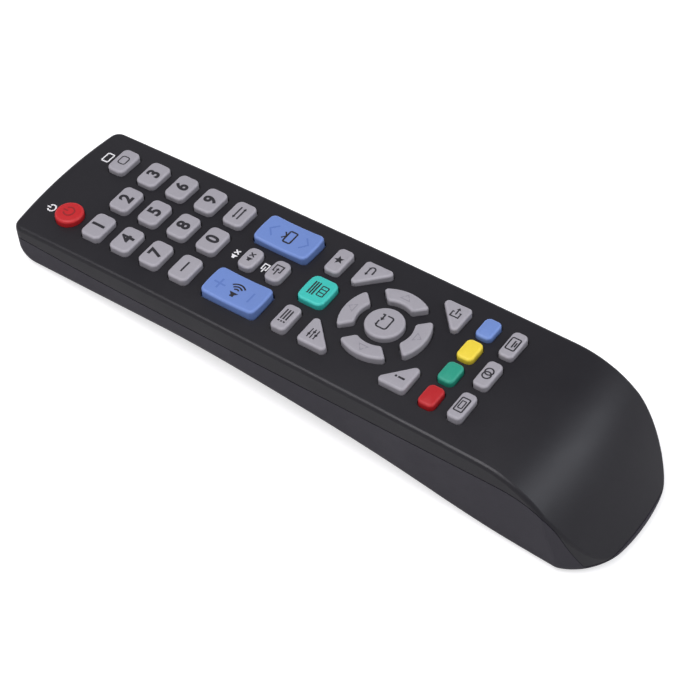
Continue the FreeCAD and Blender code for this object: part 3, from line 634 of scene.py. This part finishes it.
def mark_menu(bm):
    for y in (1.9, 1.15, 0.4):
        stroke(bm, [(-2.4, y), (2.4, y)], 0.45)
    stroke(bm, rectangle(0.0, -1.6, 3.5, 1.9, 0.2), 0.34, True)
    for x in (-0.58, 0.58):
        stroke(bm, [(x, -0.8), (x, -2.4)], 0.32)


def mark_list(bm):
    for y in (0.85, 0.0, -0.85):
        stroke(bm, [(-1.3, y), (2.4, y)], 0.45)
        stroke(bm, [(-2.3, y), (-1.8, y)], 0.53)


def mark_star(bm):
    outline = []
    for step in range(10):
        radius = 1.55 if step % 2 == 0 else 0.66
        turn = math.pi / 2.0 + step * math.pi / 5.0
        outline.append((radius * math.cos(turn), radius * math.sin(turn)))
    wall_and_caps(bm, outline)


def mark_tools(bm):
    for y, knob in ((1.0, -0.5), (0.0, 0.6), (-1.0, -0.2)):
        stroke(bm, [(-1.6, y), (1.6, y)], 0.32)
        wall_and_caps(bm, arc(knob, y, 0.42, 0, 330, 12))


def mark_return(bm):
    stroke(bm, [(-1.2, 0.75), (0.7, 0.75)] + arc(0.7, -0.05, 0.8, 90, -90, 10) + [(-0.9, -0.85)], 0.42)
    wall_and_caps(bm, [(-1.9, 0.75), (-1.1, 0.2), (-1.1, 1.3)])


def mark_info(bm):
    wall_and_caps(bm, arc(0.0, 1.2, 0.36, 0, 330, 12))
    stroke(bm, [(0.0, 0.55), (0.0, -1.4)], 0.6)


def mark_exit(bm):
    stroke(bm, [(0.1, 0.75), (0.1, 1.2), (-1.5, 1.2), (-1.5, -1.2), (0.1, -1.2), (0.1, -0.75)], 0.37)
    stroke(bm, [(-0.7, 0.0), (1.1, 0.0)], 0.4)
    wall_and_caps(bm, [(1.0, -0.6), (1.8, 0.0), (1.0, 0.6)])


def mark_enter(bm):
    left = arc(-1.5, 0.9, 0.7, 90, 180, 6) + arc(-1.5, -0.9, 0.7, 180, 270, 6)
    right = arc(1.5, -0.9, 0.7, 270, 360, 6)
    stroke(bm, [(-0.1, 1.6), (-1.5, 1.6)] + left + right + [(2.2, 0.4)], 0.45)
    stroke(bm, [(2.2, 1.9), (2.2, 1.2), (0.8, 1.2)], 0.45)
    wall_and_caps(bm, [(-0.1, 1.2), (0.9, 0.55), (0.9, 1.85)])


def mark_picture_size(bm):
    stroke(bm, rectangle(0.0, 0.0, 4.6, 2.4, 0.3), 0.4, True)
    stroke(bm, rectangle(0.0, 0.0, 2.5, 1.15, 0.2), 0.32, True)


def mark_sound(bm):
    for x in (-0.65, 0.65):
        stroke(bm, arc(x, 0.0, 1.15, 0, 345, 24), 0.42, True)


def mark_captions(bm):
    stroke(bm, rectangle(0.0, 0.0, 4.2, 2.6, 0.4), 0.4, True)
    stroke(bm, [(-1.3, -0.1), (1.3, -0.1)], 0.4)
    stroke(bm, [(-0.8, -0.7), (0.8, -0.7)], 0.4)


def mark_power(bm):
    stroke(bm, arc(0.0, 0.0, 1.55, 125, 415, 28), 0.48)
    stroke(bm, [(0.0, 0.35), (0.0, 1.95)], 0.48)


def print_on(name, draw, body, place, surface, material, turn=0.0):
    """Lays a drawn mark on a surface and lets it ride with its key."""
    bm = bmesh.new()
    draw(bm)
    bmesh.ops.remove_doubles(bm, verts=bm.verts, dist=0.0005)
    bmesh.ops.triangulate(bm, faces=bm.faces)
    for _ in range(4):
        long_edges = [edge for edge in bm.edges if edge.calc_length() > LONGEST_PRINT_EDGE]
        if long_edges:
            bmesh.ops.subdivide_edges(bm, edges=long_edges, cuts=1)
            bmesh.ops.triangulate(bm, faces=bm.faces)
    spin = Matrix.Rotation(turn, 2)
    for v in bm.verts:
        flat = spin @ Vector((v.co.x, v.co.y))
        x, y = place[0] + flat.x, place[1] + flat.y
        lift = surface(x, y) - PRINT_DEPTH + (PRINT_DEPTH + PRINT_HEIGHT) * v.co.z
        v.co = stood((x, y, lift))
    bmesh.ops.recalc_face_normals(bm, faces=bm.faces)
    mesh = bpy.data.meshes.new(name)
    bm.to_mesh(mesh)
    bm.free()
    mesh.materials.append(material)
    mark = bpy.data.objects.new(name, mesh)
    bpy.context.scene.collection.objects.link(mark)
    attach(mark, body)
    return mark


def top_of(name):
    """Height of a key's crowned top over a point of the level drawing."""
    middle, outline, rim_radius, top_height, bend = key_tops[name]
    reach_x = max(abs(p.x) for p in outline) - rim_radius
    reach_y = max(abs(p.y) for p in outline) - rim_radius

    def height(x, y):
        x, y = x - middle[0], y - middle[1]
        if bend:
            return top_height(0.0, 0.0, 0.5)
        share = min(1.0, max(abs(x) / reach_x, abs(y) / reach_y))
        return top_height(x, y, share)
    return height


def legend(name, draw, place=(0.0, 0.0), material=dark_ink, turn=0.0, suffix="print"):
    middle = key_tops[name][0]
    spot = (middle[0] + place[0], middle[1] + place[1])
    print_on("%s_%s" % (name, suffix), draw, name, spot, top_of(name), material, turn=turn)


for digit in "1234567890":
    legend("key_" + digit, lambda bm, text=digit: figure(bm, text, 4.2))
legend("key_dash", lambda bm: stroke(bm, [(-1.95, 0.0), (1.95, 0.0)], 0.55))
legend("key_previous", mark_previous)
legend("key_television", mark_television)
legend("key_volume", mark_volume)
legend("key_channel", mark_channel)
legend("key_mute", mark_mute)
legend("key_source", mark_source)
legend("key_channel_list", mark_list)
legend("key_favourite", mark_star)
legend("key_menu", mark_menu)
legend("key_tools", mark_tools)
legend("key_return", mark_return)
legend("key_info", mark_info)
legend("key_exit", mark_exit)
legend("key_enter", mark_enter)
legend("key_picture_size", mark_picture_size)
legend("key_sound", mark_sound)
legend("key_captions", mark_captions)

# Marks pressed into the rubber, tone on tone: the power sign, the plus and the
# minus, the two chevrons and the four arrows of the ring. Each is a darker tone of its key's colour, painted
# shade for the shading of the pressed mark.

# Darker copies of the key colours: painted shade for the pressed marks.
red_mark_shade = key_material("pressed_red_painted_shade", (0.27, 0.013, 0.015))
blue_mark_shade = key_material("pressed_blue_painted_shade", (0.105, 0.185, 0.470))
grey_mark_shade = key_material("pressed_grey_painted_shade", (0.255, 0.245, 0.270))
legend("key_power", mark_power, material=red_mark_shade)
legend("key_volume", lambda bm: stroke(bm, [(-1.8, 0.0), (1.8, 0.0)], 0.55), (-0.5, 5.2), blue_mark_shade,
       suffix="plus_across")
legend("key_volume", lambda bm: stroke(bm, [(0.0, -1.8), (0.0, 1.8)], 0.55), (-0.5, 5.2), blue_mark_shade,
       suffix="plus_along")
legend("key_volume", lambda bm: stroke(bm, [(-1.8, 0.0), (1.8, 0.0)], 0.55), (-0.5, -5.0), blue_mark_shade,
       suffix="minus")
for suffix, y, turn in (("up", 5.3, 0.0), ("down", -5.5, math.pi)):
    legend("key_channel", lambda bm: stroke(bm, [(-2.1, -0.9), (0.0, 0.9), (2.1, -0.9)], 0.5), (0.0, y),
           blue_mark_shade, turn, suffix)
for name, turn in (("key_up", 0.0), ("key_left", 0.5), ("key_down", 1.0), ("key_right", 1.5)):
    x = -ring_radius * math.sin(turn * math.pi)
    y = ring_radius * math.cos(turn * math.pi)
    legend(name, lambda bm: stroke(bm, [(-1.35, -0.75), (1.35, -0.75), (0.0, 1.0)], 0.26, True), (x, y),
           grey_mark_shade, turn * math.pi)

# White marks on the face in front of the power, television, mute and source keys,
# each a small pictogram.


def face_print(name, draw, x, y):
    print_on(name, draw, "handset", (x, y), face_height, white_ink)


def small_power(bm):
    stroke(bm, arc(0.0, 0.0, 1.15, 125, 415, 24), 0.42)
    stroke(bm, [(0.0, 0.3), (0.0, 1.6)], 0.42)


def small_source(bm):
    stroke(bm, [(-0.5, 0.4), (-0.5, 0.8), (1.5, 0.8), (1.5, -0.8), (-0.5, -0.8), (-0.5, -0.4)], 0.36)
    stroke(bm, [(-1.6, 0.0), (0.6, 0.0)], 0.36)


face_print("face_power_print", small_power, -12.2, 17.6)
face_print("face_television_print", lambda bm: stroke(bm, rectangle(0.0, 0.0, 3.4, 2.1, 0.35), 0.42, True),
           12.0, 17.4)
face_print("face_mute_print", mark_mute, 0.0, -37.1)
face_print("face_source_print", small_source, 0.0, -46.85)

# The table, the light and the camera: a white sweep under a soft light from above,
# a second one behind the rear end, and a sky that darkens towards the top.

floor_mesh = bpy.data.meshes.new("floor")
reach = 4.0
floor_corners = [(-reach, -reach, 0.0), (reach, -reach, 0.0), (reach, reach, 0.0), (-reach, reach, 0.0)]
floor_mesh.from_pydata(floor_corners, [], [(0, 1, 2, 3)])
floor = bpy.data.objects.new("floor", floor_mesh)
bpy.context.scene.collection.objects.link(floor)
paper = bpy.data.materials.new("white_paper")
paper.use_nodes = True
paper_tree = paper.node_tree
paper_shader = paper_tree.nodes["Principled BSDF"]
paper_shader.inputs["Base Color"].default_value = (0.60, 0.60, 0.60, 1.0)
paper_shader.inputs["Roughness"].default_value = 0.9
paper_shader.inputs["Specular IOR Level"].default_value = 0.1
rays = paper_tree.nodes.new("ShaderNodeLightPath")
glow = calculation(paper_tree, "MULTIPLY", rays.outputs["Is Camera Ray"], 0.62)
paper_shader.inputs["Emission Color"].default_value = (1.0, 1.0, 1.0, 1.0)
paper_tree.links.new(glow, paper_shader.inputs["Emission Strength"])
floor_mesh.materials.append(paper)

world = bpy.data.worlds.new("studio")
bpy.context.scene.world = world
world.use_nodes = True
sky = world.node_tree
background = sky.nodes["Background"]
sky_rays = sky.nodes.new("ShaderNodeLightPath")
direction = sky.nodes.new("ShaderNodeTexCoord")
height = sky.nodes.new("ShaderNodeSeparateXYZ")
sky.links.new(direction.outputs["Generated"], height.inputs[0])
dimming = sky.nodes.new("ShaderNodeMapRange")
dimming.inputs["From Min"].default_value = 0.05
dimming.inputs["From Max"].default_value = 0.75
dimming.inputs["To Min"].default_value = 0.62
dimming.inputs["To Max"].default_value = 0.20
sky.links.new(height.outputs["Z"], dimming.inputs["Value"])
seen = sky_rays.outputs["Is Camera Ray"]
sky.links.new(blend_colours(sky, seen, (0.96, 0.94, 1.0), (1.0, 1.0, 1.0)), background.inputs["Color"])
soft = calculation(sky, "MULTIPLY", calculation(sky, "SUBTRACT", 1.0, seen), dimming.outputs[0])
sky.links.new(calculation(sky, "ADD", seen, soft), background.inputs["Strength"])


def softbox(name, place, size, power, colour=(1.0, 1.0, 1.0)):
    lamp = bpy.data.lights.new(name, "AREA")
    lamp.color = colour
    lamp.shape = "RECTANGLE"
    lamp.size, lamp.size_y = size
    lamp.energy = power
    holder = bpy.data.objects.new(name, lamp)
    holder.location = place
    holder.rotation_euler = (-Vector(place)).to_track_quat("-Z", "Y").to_euler()
    bpy.context.scene.collection.objects.link(holder)


softbox("softbox_above", (-0.35, 0.25, 1.15), (0.9, 0.9), 13.0, (0.98, 0.96, 1.0))
softbox("softbox_side", (0.42, -0.80, 0.84), (0.7, 0.5), 4.6, (0.90, 0.93, 1.0))

lens = bpy.data.cameras.new("photograph")
lens.sensor_width = 36.0
lens.lens = 106.946
lens.shift_x = 0.0014
lens.shift_y = -0.0173
camera = bpy.data.objects.new("photograph", lens)
camera.location = (-0.283911, -0.185774, 0.427208)
camera.rotation_euler = (math.radians(39.3223), math.radians(-1.6391), math.radians(-54.8562))
bpy.context.scene.collection.objects.link(camera)
bpy.context.scene.camera = camera
bpy.context.scene.view_settings.view_transform = "Standard"
